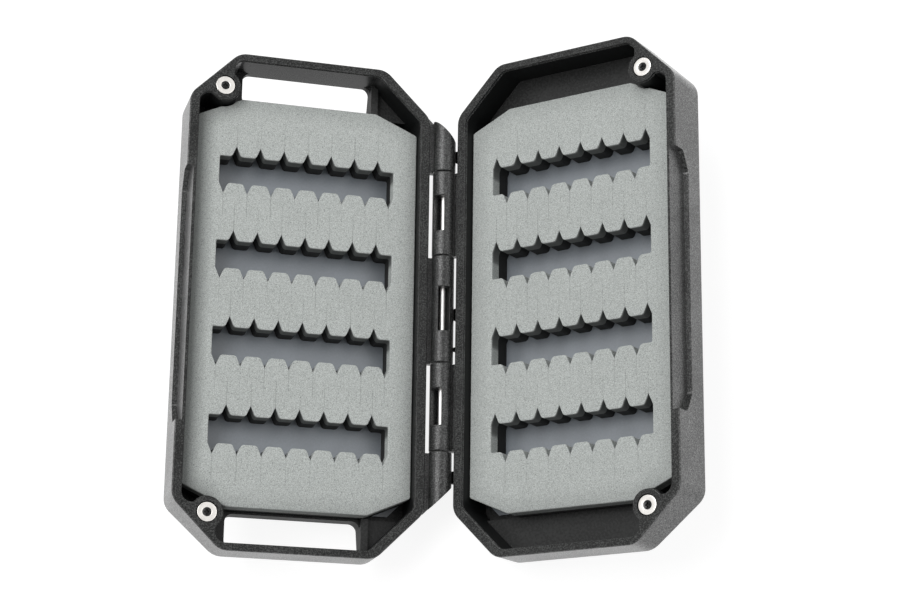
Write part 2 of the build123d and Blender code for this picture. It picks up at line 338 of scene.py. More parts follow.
@dataclass(frozen=True)
class SmoothSheet:
    """Smooth blue-grey plastic sheet behind the foam's windows."""

    name: str
    colour: Colour = (0.198, 0.220, 0.245)
    wave: float = 11 * MM
    wave_depth: float = 0.25 * MM
    dust: float = 0.7 * MM

    def material(self) -> bpy.types.Material:
        """Sheet with a soft gloss, faint dust and shallow waves.

        Returns:
            The material.
        """
        g = Graph(self.name)
        place = g.place()
        wave = g.noise(place, self.wave, 1.0, 0.4)
        dust = g.noise(place, self.dust, 3.0, 0.6)
        tone = (wave * 0.6 + dust * 0.4).clear_of(0.35, 0.65)
        return g.finish(
            Base_Color=g.blend(tone, shaded(self.colour, 0.93), shaded(self.colour, 1.08)),
            Roughness=dust * 0.16 + wave * 0.08 + 0.24,
            Specular_IOR_Level=1.0,
            Normal=g.bump(wave * 0.9 + dust * 0.02, self.wave_depth),
        )


@dataclass(frozen=True)
class AdhesiveFilm:
    """Sticky clear-grey film under the sheet."""

    name: str
    colour: Colour = (0.30, 0.29, 0.26)
    bubble: float = 1.4 * MM
    bubble_depth: float = 0.05 * MM

    def material(self) -> bpy.types.Material:
        """Film with trapped bubbles.

        Returns:
            The material.
        """
        g = Graph(self.name)
        bubbles = g.cells(g.place(), self.bubble)
        tone = bubbles.clear_of(0.1, 0.4)
        return g.finish(
            Base_Color=g.blend(tone, self.colour, shaded(self.colour, 1.2)),
            Roughness=bubbles * 0.2 + 0.2,
            Normal=g.bump(bubbles, self.bubble_depth),
        )


@dataclass(frozen=True)
class BrightMetal:
    """Metal turned or ground, with fine marks round or along it."""

    name: str
    colour: Colour
    rough: float
    marks: Triple = (1.0, 1.0, 1.0)
    mark_size: float = 0.12 * MM
    mark_depth: float = 0.002 * MM
    smear: float = 1.5 * MM
    ring_pitch: float = 0.0
    ring_depth: float = 0.004 * MM

    def material(self) -> bpy.types.Material:
        """Metal with handling smears and fine marks, stretched along one direction, and
        perhaps turned rings: a sine of the distance from the axis.

        Returns:
            The material.
        """
        g = Graph(self.name)
        marks = g.noise(g.place(self.marks), self.mark_size)
        smear = g.noise(g.place(), self.smear)
        facing = g.bump(marks, self.mark_depth)
        if self.ring_pitch:
            turned = g.attribute("turned") * (2 * math.pi / self.ring_pitch)
            facing = g.bump(turned.math("SINE", turned) * 0.5 + 0.5, self.ring_depth, facing)
        return g.finish(
            Base_Color=g.blend(smear.clear_of(0.4, 0.75), self.colour, shaded(self.colour, 0.86)),
            Metallic=1.0,
            Roughness=marks * 0.10 + smear * 0.12 + (self.rough - 0.10),
            Normal=facing,
        )


class Finish(Enum):
    """Finish of each kind of piece."""

    SHELL = MouldedPlastic("moulded_plastic")
    # Copy of the plastic for the bevel faces, about three times lighter than the grain: a painted
    # highlight along the broken edges.
    SHELL_EDGE_HIGHLIGHT = MouldedPlastic(
        "moulded_plastic_edge_highlight",
        (0.052, 0.0535, 0.0525),
        rough=0.30,
        grain_depth=0.040 * MM,
        gloss=0.60,
        speckle=0.5,
        coat=0.3,
    )
    # Copy of the plastic for the walls inside, darker than the grain: painted shade.
    SHELL_INSIDE_SHADED = MouldedPlastic(
        "moulded_plastic_inside_shaded",
        (0.0075, 0.008, 0.008),
        rough=0.50,
        grain=0.6 * MM,
        grain_depth=0.006 * MM,
        gloss=0.15,
        sheen=0.0,
        speckle=0.1,
        coat=0.0,
    )
    SHELL_RIM = MouldedPlastic(
        "moulded_plastic_rim",
        (0.0235, 0.0242, 0.0237),
        rough=0.42,
        grain_depth=0.080 * MM,
        gloss=0.22,
        sheen=0.06,
        speckle=0.85,
        coat=0.0,
    )
    SHELL_KNUCKLE = MouldedPlastic(
        "moulded_plastic_knuckle",
        (0.0130, 0.0135, 0.0132),
        grain=0.46 * MM,
        grain_depth=0.140 * MM,
        gloss=0.48,
        sheen=0.06,
        speckle=1.2,
        coat=0.5,
    )
    # Smoother copy of the plastic for the floors and the base's slot ends. Its colour is lighter
    # than the grain's and the inside walls': painted light.
    SHELL_POLISHED_LIT = MouldedPlastic(
        "moulded_plastic_polished_lit",
        (0.032, 0.0325, 0.0322),
        rough=0.28,
        grain=0.8 * MM,
        grain_depth=0.006 * MM,
        gloss=0.16,
        sheen=0.0,
        speckle=0.1,
        coat=0.0,
    )
    GREY_FOAM = CellFoam("grey_foam")
    BLACK_FOAM = CellFoam("black_foam", (0.010, 0.011, 0.011))
    SHEET = SmoothSheet("sheet_plastic")
    ADHESIVE = AdhesiveFilm("adhesive_gum")
    NICKEL = BrightMetal("nickel_plate", (0.74, 0.72, 0.69), 0.28, ring_pitch=0.34)
    SCREW = BrightMetal("screw_metal", (0.030, 0.030, 0.030), 0.20)
    PIN = BrightMetal("pin_metal", (0.92, 0.91, 0.89), 0.48, (1.0, 0.04, 1.0), 0.08 * MM)

    def material(self) -> bpy.types.Material:
        """The finish's material, made once."""
        return bpy.data.materials.get(self.value.name) or self.value.material()


# Surfaces


@dataclass
class Surface:
    """Points and four-sided faces; a face that repeats its last point has three sides."""

    points: Array
    faces: NDArray[np.int64]

    @staticmethod
    def grid(points: Array) -> "Surface":
        """Surface over a grid of points.

        The point at (i, j) joins its neighbours (i, j + 1), (i + 1, j + 1) and (i + 1, j).

        Args:
            points: Array of rows by columns by 3.

        Returns:
            The surface.
        """
        rows, columns = points.shape[:2]
        index = np.arange(rows * columns).reshape(rows, columns)
        corners = [index[:-1, :-1], index[:-1, 1:], index[1:, 1:], index[1:, :-1]]
        return Surface(points.reshape(-1, 3), np.stack(corners, axis=-1).reshape(-1, 4))

    @staticmethod
    def joined(parts: Sequence["Surface"]) -> "Surface":
        """Several surfaces as one.

        Args:
            parts: The surfaces.

        Returns:
            The one surface, not yet welded.
        """
        starts = np.cumsum([0] + [len(part.points) for part in parts[:-1]])
        faces = [part.faces + start for part, start in zip(parts, starts)]
        return Surface(np.concatenate([part.points for part in parts]), np.concatenate(faces))

    def turned_over(self) -> "Surface":
        """The same surface, facing the other way."""
        return Surface(self.points, self.faces[:, ::-1])

    def welded(self, tolerance: float = 1e-4) -> "Surface":
        """Surface with its coinciding points made one and its collapsed faces dropped.

        Args:
            tolerance: How near two points are when they coincide.

        Returns:
            The closed surface.
        """
        keys = np.round(self.points / tolerance).astype(np.int64)
        _, first, back = np.unique(keys, axis=0, return_index=True, return_inverse=True)
        faces = back.reshape(-1)[self.faces]
        follow = np.roll(faces, -1, axis=1)
        keep = (faces != follow).sum(axis=1) >= 3
        return Surface(self.points[first], faces[keep])

    def rim(self) -> NDArray[np.int64]:
        """Edges that only one face uses, in that face's order.

        Returns:
            Array of edges by 2.
        """
        edges = np.stack([self.faces, np.roll(self.faces, -1, axis=1)], axis=-1).reshape(-1, 2)
        edges = edges[edges[:, 0] != edges[:, 1]]
        _, back, count = np.unique(
            np.sort(edges, axis=1), axis=0, return_inverse=True, return_counts=True
        )
        return edges[count[back.reshape(-1)] == 1]

    def mesh(
        self,
        name: str,
        attributes: Mapping[str, Array] | None = None,
        smooth: float = 40.0,
    ) -> bpy.types.Mesh:
        """Blender mesh of the surface.

        Args:
            name: The mesh's name.
            attributes: Numbers to keep on its points, by name.
            smooth: Edges sharper than this many degrees stay sharp.

        Returns:
            The mesh.
        """
        new_corner = self.faces != np.roll(self.faces, -1, axis=1)
        sides = new_corner.sum(axis=1)
        made = bpy.data.meshes.new(name)
        made.vertices.add(len(self.points))
        made.vertices.foreach_set("co", self.points.astype(np.float32).ravel())
        made.loops.add(int(sides.sum()))
        made.loops.foreach_set("vertex_index", self.faces[new_corner].astype(np.int32))
        made.polygons.add(len(self.faces))
        starts = np.concatenate([[0], np.cumsum(sides)[:-1]])
        made.polygons.foreach_set("loop_start", starts.astype(np.int32))
        for key, values in (attributes or {}).items():
            kept = made.attributes.new(key, "FLOAT", "POINT")
            kept.data.foreach_set("value", values.astype(np.float32))
        made.update(calc_edges=True)
        made.shade_smooth()
        made.set_sharp_from_angle(angle=math.radians(smooth))
        return made


def revolved(profile: Array, sides: int) -> Surface:
    """Profile turned about the Z axis.

    A point (r, z) of the profile goes to (r cos a, r sin a, z), for a from 0 to a full turn.

    Args:
        profile: Array of points by (r, z).
        sides: Number of steps round.

    Returns:
        The surface, welded where it meets itself.
    """
    angles = np.linspace(0.0, 2 * np.pi, sides + 1)
    radius, height = profile[:, :1], profile[:, 1:]
    across, along = radius * np.cos(angles), radius * np.sin(angles)
    points = np.stack([across, along, np.broadcast_to(height, across.shape)], axis=-1)
    return Surface.grid(points).turned_over().welded()


def arc(centre: tuple[float, float], radius: float, start: float, end: float, steps: int) -> Array:
    """Points round part of a circle: centre + radius (cos a, sin a), with a in degrees."""
    angles = np.radians(np.linspace(start, end, steps))
    return np.array(centre) + radius * np.stack([np.cos(angles), np.sin(angles)], axis=-1)


# The two halves and where they stand


class Half(Enum):
    """The two halves of the box, named as their bodies."""

    BASE = "base"
    LID = "lid"

    @property
    def side(self) -> float:
        """1 for the half that opens towards +X, -1 for the other."""
        return 1.0 if self is Half.LID else -1.0


@dataclass(frozen=True)
class HingeFrame:
    """Turns a half's own millimetres into the row frame's metres.

    In a half's frame the pin lies on Y, X runs out from the pin and Z leaves the open side.
    """

    height: float
    tilt: float

    @staticmethod
    def of_record() -> "HingeFrame":
        """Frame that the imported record's hinge gives."""
        hinge = frame["joints"][0]
        return HingeFrame(hinge["pos_m"][2] / MM, math.radians((180.0 - hinge["range_deg"][1]) / 2))

    def placed(self, half: Half, surface: Surface) -> Surface:
        """Surface moved to where its half stands.

        With s the half's side, t the tilt and h the height, (x, y, z) goes to
        (s (x cos t - z sin t), s y, x sin t + z cos t + h).

        Args:
            half: The half that it belongs to.
            surface: The surface in the half's own frame, in millimetres.

        Returns:
            The surface in the row frame, in metres.
        """
        x, y, z = surface.points.T
        cos, sin = math.cos(self.tilt), math.sin(self.tilt)
        row = [half.side * (x * cos - z * sin), half.side * y, x * sin + z * cos + self.height]
        return Surface(np.stack(row, axis=-1) * MM, surface.faces)

    def own(self, half: Half, points: Array) -> Array:
        """Points of the row frame in a half's own frame, the other way round from placed.

        Args:
            half: The half that they belong to.
            points: Array of points by 3, in metres.

        Returns:
            Array of points by 3, in millimetres.
        """
        across, along, up = (points / MM).T
        across, along, up = half.side * across, half.side * along, up - self.height
        cos, sin = math.cos(self.tilt), math.sin(self.tilt)
        return np.stack([across * cos + up * sin, along, up * cos - across * sin], axis=-1)


HINGE = HingeFrame.of_record()


def linked(name: str, data: bpy.types.ID) -> bpy.types.Object:
    """New object in the scene.

    Args:
        name: Its name.
        data: Its mesh, lamp or camera.

    Returns:
        The object.
    """
    made = bpy.data.objects.new(name, data)
    bpy.context.scene.collection.objects.link(made)
    return made


def piece(
    name: str,
    half: Half,
    mesh: bpy.types.Mesh,
    finish: Finish,
    replaces: str,
) -> bpy.types.Object:
    """New object that rides on a half and stands for a CAD node.

    Args:
        name: The piece's name.
        half: The half that it rides on.
        mesh: Its mesh, in the row frame.
        finish: Its finish.
        replaces: The CAD node that it stands for.

    Returns:
        The object.
    """
    made = linked(name, mesh)
    mesh.materials.append(finish.material())
    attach(made, half.value)
    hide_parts(replaces)
    LOG.info("%s: %d faces, on %s", name, len(mesh.polygons), half.value)
    return made


def dress(node: str, finish: Finish) -> None:
    """Give a CAD node its finish.

    Args:
        node: The node.
        finish: Its finish.
    """
    shown = frame["nodes"][node]
    shown.data.materials.clear()
    shown.data.materials.append(finish.material())
    LOG.info("%s: CAD shape, %s", node, finish.value.name)


# Sub-assemblies


@dataclass
class CaseShell:
    """Moulded half with its walls, floor, knuckles and bosses, and its edges broken.

    In the half's own frame the walls' outer faces are x = outer, |y| = end and the two cuts
    |y| = hinge_corner + x and |y| = outer_corner - x. The inside starts at x = well, its walls
    reach up to z = lip, its floors lie below ledge, and the rim's faces lie above rim.
    Level, steep and square are limits on one part of a face's unit normal.
    """

    half: Half
    edge_round: float = 0.11
    sharp: float = 32.0
    flat: float = 0.05
    weld: float = 0.0005
    outer: float = 83.43
    end: float = 80.2
    hinge_corner: float = 60.18
    outer_corner: float = 148.33
    wall: float = 3.0
    wall_slack: float = 0.6
    slot: tuple[float, float] = (22.85, 65.2)
    well: float = 7.9
    lip: float = -1.05
    ledge: float = -4.0
    rim: float = -1.0
    barrel: float = 4.6
    hinge_end: float = 54.0
    knuckle_core: float = 3.3
    knuckle_reach: float = 3.3
    knuckle_round: float = 0.42
    level: float = 0.9
    steep: float = 0.3
    square: float = 0.1
    finishes: tuple[Finish, ...] = (
        Finish.SHELL,
        Finish.SHELL_EDGE_HIGHLIGHT,
        Finish.SHELL_INSIDE_SHADED,
        Finish.SHELL_POLISHED_LIT,
        Finish.SHELL_RIM,
        Finish.SHELL_KNUCKLE,
    )

    def merged(self) -> bmesh.types.BMesh:
        """Copy of the CAD node with its loose triangles joined and its flat faces made whole.

        Returns:
            The mesh, still open for work.
        """
        work = bmesh.new()
        work.from_mesh(frame["nodes"][self.half.value + "_shell"].data)
        bmesh.ops.remove_doubles(work, verts=work.verts, dist=self.weld * MM)
        bmesh.ops.dissolve_limit(
            work,
            angle_limit=math.radians(self.flat),
            use_dissolve_boundaries=False,
            verts=work.verts,
            edges=work.edges,
        )
        return work

    def round_knuckles(self, work: bmesh.types.BMesh) -> None:
        """Round the ends of the knuckles: the edges where a face square to the pin meets one
        along it, outside the barrel's core.

        Args:
            work: The shell's mesh.
        """
        ends = []
        for edge in work.edges:
            if len(edge.link_faces) != 2 or not edge.is_convex:
                continue
            x, y, z = HINGE.own(self.half, np.array([v.co[:] for v in edge.verts])).T
            beside, facing = sorted(abs(face.normal.y) for face in edge.link_faces)
            on_end = abs(y[0] - y[1]) < self.flat and abs(y[0]) < self.hinge_end
            outside = np.hypot(x, z).min() > self.knuckle_core and x.max() < self.knuckle_reach
            if on_end and outside and beside < self.square and facing > self.level:
                ends.append(edge)
        LOG.info("%s: %d knuckle edges rounded", self.half.value, len(ends))
        bmesh.ops.bevel(
            work,
            geom=ends,
            offset=self.knuckle_round * MM,
            segments=2,
            profile=0.5,
            affect="EDGES",
            clamp_overlap=False,
        )

    def depth(self, points: Array) -> Array:
        """Distance inwards from the outside of the walls: the least of those to the outer
        wall, the end and the two 45 degree cuts.

        Args:
            points: Array of points by 3 in the half's own frame.

        Returns:
            The distances.
        """
        x, y = points[:, 0], np.abs(points[:, 1])
        cuts = np.stack([self.hinge_corner + x - y, self.outer_corner - x - y]) / math.sqrt(2)
        return np.minimum.reduce([self.outer - x, self.end - y, *cuts])

    def face_finishes(self, mesh: bpy.types.Mesh) -> Array:
        """Which finish each face has: the grain outside, a duller one on the rim and the
        knuckles, smooth inside walls darkened by painted shade, and polished floors and ends of
        the base's slots, lighter by painted light.

        Args:
            mesh: The shell's mesh.

        Returns:
            Index of the finish, for each face.
        """
        centre, normal = (np.empty(3 * len(mesh.polygons)) for _ in range(2))
        mesh.polygons.foreach_get("center", centre)
        mesh.polygons.foreach_get("normal", normal)
        middle = HINGE.own(self.half, centre.reshape(-1, 3))
        tip = HINGE.own(self.half, (centre + normal * MM).reshape(-1, 3))
        x, y, z = middle.T
        rise = (tip - middle)[:, 2]
        within = self.depth(middle) > self.wall - self.wall_slack
        # Walls inside take the darker copy of the plastic: painted shade.
        inside = (np.abs(rise) < self.steep) & within & (x > self.well) & (z < self.lip)
        in_slot = (self.end - np.abs(y) < self.wall) & (x > self.slot[0]) & (x < self.slot[1])
        # The base's slot ends take the lighter polished copy, not the dark inside one: painted
        # light from the slot.
        slot_end = inside & in_slot & (self.half is Half.BASE)
        floor = (rise > self.level) & within & (z < self.ledge)
        zones = {
            Finish.SHELL_POLISHED_LIT: slot_end | floor,
            Finish.SHELL_INSIDE_SHADED: inside,
            Finish.SHELL_KNUCKLE: x < self.barrel,
            Finish.SHELL_RIM: (rise > self.level) & (z > self.rim),
        }
        places = [self.finishes.index(finish) for finish in zones]
        return np.select(list(zones.values()), places, self.finishes.index(Finish.SHELL))

    def build(self) -> bpy.types.Object:
        """Shell with broken edges.

        Returns:
            The object.
        """
        name = self.half.value
        mesh = bpy.data.meshes.new(name + "_case")
        work = self.merged()
        self.round_knuckles(work)
        work.to_mesh(mesh)
        work.free()
        mesh.shade_smooth()
        mesh.set_sharp_from_angle(angle=math.radians(self.sharp))
        made = piece(name + "_case", self.half, mesh, Finish.SHELL, name + "_shell")
        for finish in self.finishes[1:]:
            mesh.materials.append(finish.material())
        mesh.polygons.foreach_set("material_index", self.face_finishes(mesh).astype(np.int32))
        bevel = made.modifiers.new("broken_edges", "BEVEL")
        bevel.width, bevel.segments = self.edge_round * MM, 2
        bevel.limit_method, bevel.angle_limit = "ANGLE", math.radians(self.sharp)
        # The bevel's faces take the lighter edge copy of the plastic: a painted highlight.
        bevel.material = self.finishes.index(Finish.SHELL_EDGE_HIGHLIGHT)
        normals = made.modifiers.new("flat_faces", "WEIGHTED_NORMAL")
        normals.weight, normals.keep_sharp = 100, True
        return made


@dataclass
class HingePin:
    """Ground steel pin through the five knuckles, with broken ends."""

    radius: float = 0.85
    low: float = -55.4
    high: float = 55.1
    chamfer: float = 0.22
    band: float = 0.05
    sides: int = 48

    def surface(self) -> Surface:
        """Pin along Y: its profile of radius against length, turned about its own axis. A
        narrow band beyond each chamfer holds the chamfer's shade.

        Returns:
            The surface in the base's own frame.
        """
        r, c, low, high = self.radius, self.chamfer, self.low, self.high
        profile = [(0.0, low), (r - c, low), (r, low + c), (r, low + c + self.band)]
        profile += [(r, high - c - self.band), (r, high - c), (r - c, high), (0.0, high)]
        turned = revolved(np.array(profile), self.sides)
        return Surface(turned.points[:, [1, 2, 0]], turned.faces)

    def build(self) -> bpy.types.Object:
        """The pin."""
        mesh = HINGE.placed(Half.BASE, self.surface()).mesh("steel_pin")
        return piece("steel_pin", Half.BASE, mesh, Finish.PIN, "hinge_pin")


@dataclass
class FoamInsert:
    """Two-layer foam insert with four rows of notched windows and a slit beyond each notch.

    In the half's own frame it reaches from near to far across the case and as far as end
    either way along it. Steps are the places of the columns of points beside each notch.
    """

    half: Half
    near: float = 8.23
    far: float = 80.07
    end: float = 66.12
    near_chamfer: tuple[float, float] = (13.8, 6.1)
    far_chamfer: tuple[float, float] = (14.1, 6.4)
    magnet: tuple[float, float] = (72.36, 68.75)
    magnet_relief: float = 5.65
    top: float = -4.3
    seam: float = -8.4
    bottom: float = -13.5
    row_pitch: float = 28.05
    rows: int = 4
    lobe: float = 4.475
    notch_depth: float = 3.45
    notch_half: float = 1.45
    notch_pitch: float = 7.684
    notches: int = 8
    lobe_round: float = 1.25
    corner_round: float = 0.5
    outline_round: float = 1.2
    edge_round: float = 0.25
    outer_round: float = 0.35
    steps: tuple[float, ...] = (0.5, 0.8, 1.13, 1.3, 1.45, 1.7, 1.95, 2.28)
    slit_steps: tuple[float, ...] = (0.05, 0.10, 0.2, 0.34)
    end_gap: float = 0.03
    least_step: float = 0.045
    slit_length: float = 9.0
    slit_spread: tuple[float, float] = (-0.8, 0.5)
    slit_strength: tuple[float, float] = (0.30, 0.90)
    slit_fade: float = 0.12
    slit_lead: float = 0.02
    slit_half: float = 0.07
    # The painted shade in the slits is slit_shade times as wide as the groove.
    slit_shade: float = 1.6
    slit_depth: float = 0.05
    # Cut_shift to cut_full place the painted shade on the cut walls.
    cut_shift: float = 1.0
    cut_reach: float = 4.6
    cut_start: float = 0.12
    cut_full: float = 0.62
    waist: float = 0.06
    wall_steps: int = 6
    # Painted shade near the outline, where the case's walls shade the foam.
    shade_reach: float = 6.0
    far_shade_gain: float = 1.6
    seed: int = 7

    @property
    def middle(self) -> float:
        """Middle of the insert across the case."""
        return (self.near + self.far) / 2

    @property
    def row_middles(self) -> Array:
        """Middle of each row along the case."""
        return (np.arange(self.rows) - (self.rows - 1) / 2) * self.row_pitch

    def notch_places(self, many: bool) -> Array:
        """Notch middles across the case, on the side with one notch more or on the other."""
        count = self.notches if many else self.notches - 1
        return self.middle + (np.arange(count) - (count - 1) / 2) * self.notch_pitch

    @property
    def row_ends(self) -> tuple[float, float]:
        """Where the rows' windows begin and end across the case."""
        places = self.notch_places(True)
        return places[0] - self.notch_half, places[-1] + self.notch_half

    def reach(self, x: Array, many: bool) -> Array:
        """Distance from a row's middle to its edge.

        With u the distance to the nearest notch, m half its mouth and s its slope, the edge is at
        lobe + s (m - u) on a flank, at lobe + r - sqrt(r^2 - (u - c)^2) on the rounded shoulder
        that touches both, and at lobe beyond it. The outermost flanks have no shoulder, and the
        corners of the other side are rounded by a quarter circle.

        Args:
            x: Places across the case.
            many: True for the side with one notch more.

        Returns:
            The distances.
        """
        places = self.notch_places(many)
        slope = self.notch_depth / self.notch_half
        touch = self.lobe_round * math.tan(math.atan(slope) / 2)
        centre = self.notch_half + touch
        flank_end = self.notch_half - touch * math.cos(math.atan(slope))
        u = np.abs(x[:, None] - places).min(axis=1)
        into = np.clip(self.lobe_round**2 - (u - centre) ** 2, 0.0, None)
        shoulder = self.lobe_round - np.sqrt(into)
        edge = np.where(u < centre, self.lobe + shoulder, self.lobe)
        edge = np.where(u < flank_end, self.lobe + slope * (self.notch_half - u), edge)
        low, high = self.row_ends
        inset = np.minimum(x - low, high - x)
        if many:
            outside = (x < places[0]) | (x > places[-1])
            flank = self.lobe + slope * np.clip(self.notch_half - u, 0.0, None)
            return np.where(outside, flank, edge)
        r = self.corner_round
        corner = r - np.sqrt(np.clip(r**2 - np.clip(r - inset, 0.0, r) ** 2, 0.0, None))
        return edge - corner

    def chamfer_line(self, inset: Array, run: float, drop: float) -> Array:
        """Line of a chamfer, with a round corner where it meets the long side.

        With m = drop / run, the line is end - drop + m inset. The corner's arc has its centre
        one radius in from the side and one radius below the line.

        Args:
            inset: Distances in from the long side.
            run: Length of the chamfer along the end.
            drop: Its length along the side.

        Returns:
            The line's distances from the insert's middle.
        """
        r, slope = self.outline_round, drop / run
        long = math.hypot(1.0, slope)
        line = self.end - drop + slope * inset
        centre = self.end - drop + slope * r - r * long
        round_line = centre + np.sqrt(np.clip(r**2 - (inset - r) ** 2, 0.0, None))
        return np.where(inset < r - r * slope / long, round_line, line)

    def end_line(self, x: Array) -> Array:
        """Distance from the insert's middle to its end: the nearest of the end, its two chamfers
        and the relief round the magnet's boss, y0 - sqrt(r^2 - (x - x0)^2).

        Args:
            x: Places across the case.

        Returns:
            The distances.
        """
        near_line = self.chamfer_line(x - self.near, *self.near_chamfer)
        far_line = self.chamfer_line(self.far - x, *self.far_chamfer)
        inside = np.clip(self.magnet_relief**2 - (x - self.magnet[0]) ** 2, 0.0, None)
        relief = np.where(inside > 0, self.magnet[1] - np.sqrt(inside), self.end)
        return np.minimum.reduce([np.full_like(x, self.end), near_line, far_line, relief])

    def columns(self, fine: bool) -> Array:
        """Places across the windows at which the surface has a column of points.

        Args:
            fine: True where the slits show.

        Returns:
            The places, from one end of the windows to the other.
        """
        steps = np.array([*(self.slit_steps if fine else ()), *self.steps])
        offsets = np.concatenate([-steps[::-1], [0.0], steps])
        places = np.concatenate([self.notch_places(True), self.notch_places(False)])
        low, high = self.row_ends
        corner = self.corner_round * np.array([0.15, 0.45, 1.0])
        every = np.concatenate([(places[:, None] + offsets).ravel(), low + corner, high - corner])
        every = every[(every > low + self.end_gap) & (every < high - self.end_gap)]
        every = np.unique(np.round(every, 3))
        every = every[np.concatenate([[True], np.diff(every) > self.least_step])]
        return np.concatenate([[low], every, [high]])

    @staticmethod
    def spread(low: Array, high: Array, inset: Sequence[float], inner: int) -> Array:
        """Rows of points between two lines, closer together beside each.

        Args:
            low: One line's height at each column.
            high: The other's.
            inset: Distances of the close rows from each line.
            inner: Number of rows between the close ones.

        Returns:
            Array of rows by columns.
        """
        near = low + np.array(inset)[:, None]
        far = high - np.array(inset)[::-1, None]
        share = np.linspace(0.0, 1.0, inner + 2)[1:-1, None]
        between = near[-1] * (1 - share) + far[0] * share
        return np.concatenate([near, between, far])

    def flat(self, fine: bool) -> Surface:
        """The insert's outline with its windows, as a flat surface of strips.

        Each strip between two windows is a grid whose rows run from one window's edge to the
        next one's. The two margins beyond the windows' ends are grids whose rows go on from
        those of the strips, scaled to the end line.

        Args:
            fine: True for the surface that shows.

        Returns:
            The surface at height 0.
        """
        inset = [0.0, 0.06, 0.15, 0.3, 0.6] if fine else [0.0]
        inner = 8 if fine else 0
        x = self.columns(fine)
        edges = [-self.end_line(x)]
        for middle in self.row_middles:
            edges += [middle - self.reach(x, False), middle + self.reach(x, True)]
        edges.append(self.end_line(x))
        strips, first, last = [], [], []
        for low, high in zip(edges[::2], edges[1::2]):
            y = self.spread(low, high, inset, inner)
            strips.append(self.laid(x, y))
            first.append(y[:, 0])
            last.append(y[:, -1])
        margins = [
            self.margin(self.near, x[0], first, fine),
            self.margin(self.far, x[-1], last, fine).turned_over(),
        ]
        return Surface.joined(strips + margins).welded()

    @staticmethod
    def laid(x: Array, y: Array) -> Surface:
        """Flat grid at height 0, facing up, over columns x and rows of y."""
        across = np.broadcast_to(x, y.shape)
        return Surface.grid(np.stack([across, y, np.zeros_like(y)], axis=-1))

    def margin(self, outer: float, inner: float, ends: Sequence[Array], fine: bool) -> Surface:
        """Flat grid between a long side and the windows' ends.

        Args:
            outer: Place of the long side.
            inner: Place of the windows' ends.
            ends: Rows of each strip where it meets the margin.
            fine: True for the surface that shows.

        Returns:
            The surface.
        """
        rise = np.array([0.0, 0.03, 0.08, 0.16, 0.3, 0.45, 0.65, 0.95])
        fall = np.array([0.95, 0.5, 0.25, 0.12, 0.05, 0.0]) if fine else np.array([0.0])
        way = np.sign(inner - outer)
        x = np.concatenate([outer + way * rise, inner - way * fall])
        bridge = 10
        joined = [ends[0]]
        for below, above in zip(ends, ends[1:]):
            joined += [np.linspace(below[-1], above[0], bridge)[1:-1], above]
        y = np.concatenate(joined)
        scale = self.end_line(x) / self.end_line(np.array([inner]))
        return self.laid(x, y[:, None] * scale)

    def slits(self) -> Array:
        """Every slit: its place across, its start, which way it runs, its length and strength.

        Returns:
            Array of slits by 5.
        """
        draw = np.random.default_rng(self.seed + int(self.half.side))
        tip = self.lobe + self.notch_depth
        found = []
        for many, way in ((True, 1.0), (False, -1.0)):
            places = self.notch_places(many)
            count = len(places)
            for middle in self.row_middles:
                rows = [
                    places,
                    np.full(count, middle + way * tip),
                    np.full(count, way),
                    self.slit_length + draw.uniform(*self.slit_spread, count),
                    draw.uniform(*self.slit_strength, count),
                ]
                found.append(np.stack(rows, axis=-1))
        return np.concatenate(found)

    def slit_field(self, x: Array, y: Array, half_width: float) -> Array:
        """How far each point lies in a slit, from 0 to 1.

        Across a slit of half width w the share is strength (1 - u / w). It starts slit_lead
        of the slit's length before it and fades to 0 over the last slit_fade of it.

        Args:
            x: Places across the case.
            y: Places along it.
            half_width: Half the width of a slit.

        Returns:
            The greatest share at each point.
        """
        best = np.zeros_like(x)
        for place, start, way, length, strength in self.slits():
            u = np.abs(x - place) / half_width
            along = (y - start) * way / length
            fade = np.clip((1.0 - along) / self.slit_fade, 0.0, 1.0) * (along > -self.slit_lead)
            best = np.maximum(best, strength * np.clip(1 - u, 0.0, 1.0) * fade)
        return best

    def cut_wall_shade(self, y: Array, z: Array) -> Array:
        """Painted shade on cut walls facing away from the main lamp, 0 to 1 at each point.

        With d the distance to the nearest line cut_shift beyond the lobes, on the rows' +Y
        side, and f a ramp from 0 at cut_start below the upper face to 1 at cut_full below it,
        the share is (cut_reach - d) f, with its first factor kept from 0 to 1.

        Args:
            y: Places along the case.
            z: Heights.

        Returns:
            The share at each point.
        """
        lines = self.row_middles + self.lobe + self.cut_shift
        away = np.abs(self.half.side * y[:, None] - lines).min(axis=1)
        under = (self.top - z - self.cut_start) / (self.cut_full - self.cut_start)
        return np.clip(self.cut_reach - away, 0.0, 1.0) * np.clip(under, 0.0, 1.0)

    def wall_shade_field(self, x: Array, y: Array) -> Array:
        """Painted shade where the case's walls shade the foam: 1 on the insert's outline
        and 0 from a distance shade_reach in.

        Beside the base's far side, under its outer wall, the share is stronger, by up to
        far_shade_gain times itself.

        Args:
            x: Places across the case.
            y: Places along it.

        Returns:
            The share at each point.
        """
        share = 1.0 - np.clip(self.edge_distance(x, y)[1] / self.shade_reach, 0.0, 1.0)
        beside = np.clip((x - self.far) / self.shade_reach + 2.0, 0.0, 1.0)
        return share * (1.0 + self.far_shade_gain * beside * (self.half is Half.BASE))

